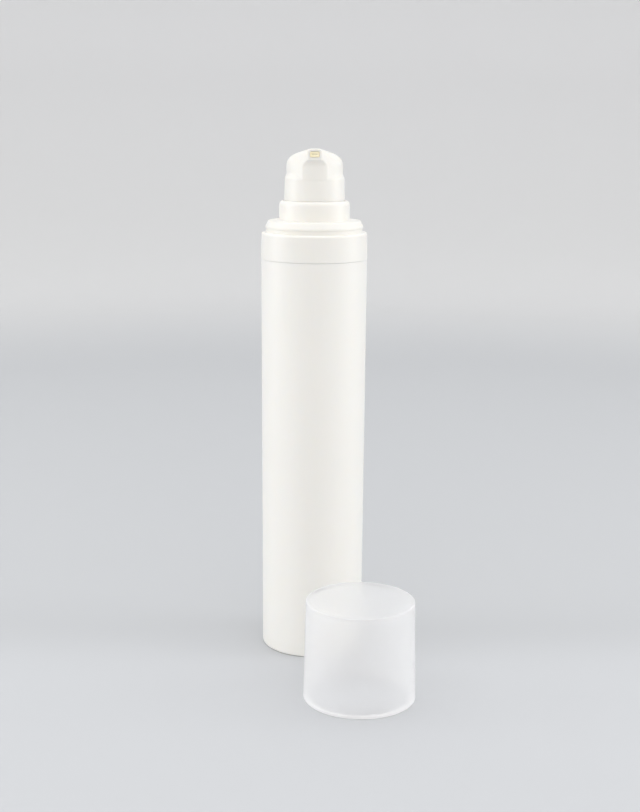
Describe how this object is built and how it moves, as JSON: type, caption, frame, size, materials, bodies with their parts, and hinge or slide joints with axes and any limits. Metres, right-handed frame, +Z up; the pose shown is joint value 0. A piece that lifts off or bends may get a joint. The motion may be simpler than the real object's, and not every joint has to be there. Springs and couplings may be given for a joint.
{
  "type": "airless pump bottle",
  "caption": "Round white airless pump bottle with a press actuator and a frosted overcap standing beside it.",
  "frame": {"origin": "centre of the bottle's foot, on the surface that it stands on", "axes": "+Z up along the bottle's axis, the nozzle faces -Y, +X to the right seen from the nozzle's side"},
  "size_m": [0.0574, 0.0945, 0.1929],
  "materials": {
    "white_body": "satin white polypropylene",
    "white_pump": "satin white polypropylene",
    "cream_insert": "natural polyethylene, warm",
    "frosted_cap": "frosted natural polypropylene",
    "natural_pp": "natural polypropylene",
    "natural_pe": "natural polyethylene",
    "spring_steel": "drawn stainless wire"
  },
  "bodies": {
    "bottle": {"bottle": "white_body", "collar": "white_pump", "pump_housing": "natural_pp", "flange_gasket": "natural_pe", "stem_guide": "white_pump", "return_spring": "spring_steel"},
    "plunger": {"stem": "natural_pp", "piston_rod": "natural_pp"},
    "seal": {"piston_seal": "natural_pe"},
    "actuator": {"actuator": "white_pump", "nozzle_insert": "cream_insert"},
    "inlet_ball": {"inlet_ball": "spring_steel"},
    "follower": {"follower_piston": "natural_pe"},
    "overcap": {"overcap": "frosted_cap"}
  },
  "joints": [
    {"name": "pump_press", "type": "slide", "parent": "bottle", "child": "plunger", "axis": [0, 0, -1], "range_m": [0, 0.0055], "stiffness_N_per_m": 1500, "springref_m": -0.004, "deforming": ["return_spring"]},
    {"name": "piston_slip", "type": "slide", "parent": "plunger", "child": "seal", "axis": [0, 0, 1], "range_m": [0, 0.00075]},
    {"name": "actuator_turn", "type": "hinge", "parent": "plunger", "child": "actuator", "pos_m": [0, 0, 0.181], "axis": [0, 0, 1], "continuous": true},
    {"name": "inlet_ball_lift", "type": "slide", "parent": "bottle", "child": "inlet_ball", "axis": [0, 0, 1], "range_m": [0, 0.0008]},
    {"name": "follower_rise", "type": "slide", "parent": "bottle", "child": "follower", "axis": [0, 0, 1], "range_m": [0, 0.1357]},
    {"name": "overcap_lift", "type": "slide", "parent": "bottle", "child": "overcap", "axis": [0, 0, 1], "range_m": [0, 0.2]}
  ]
}
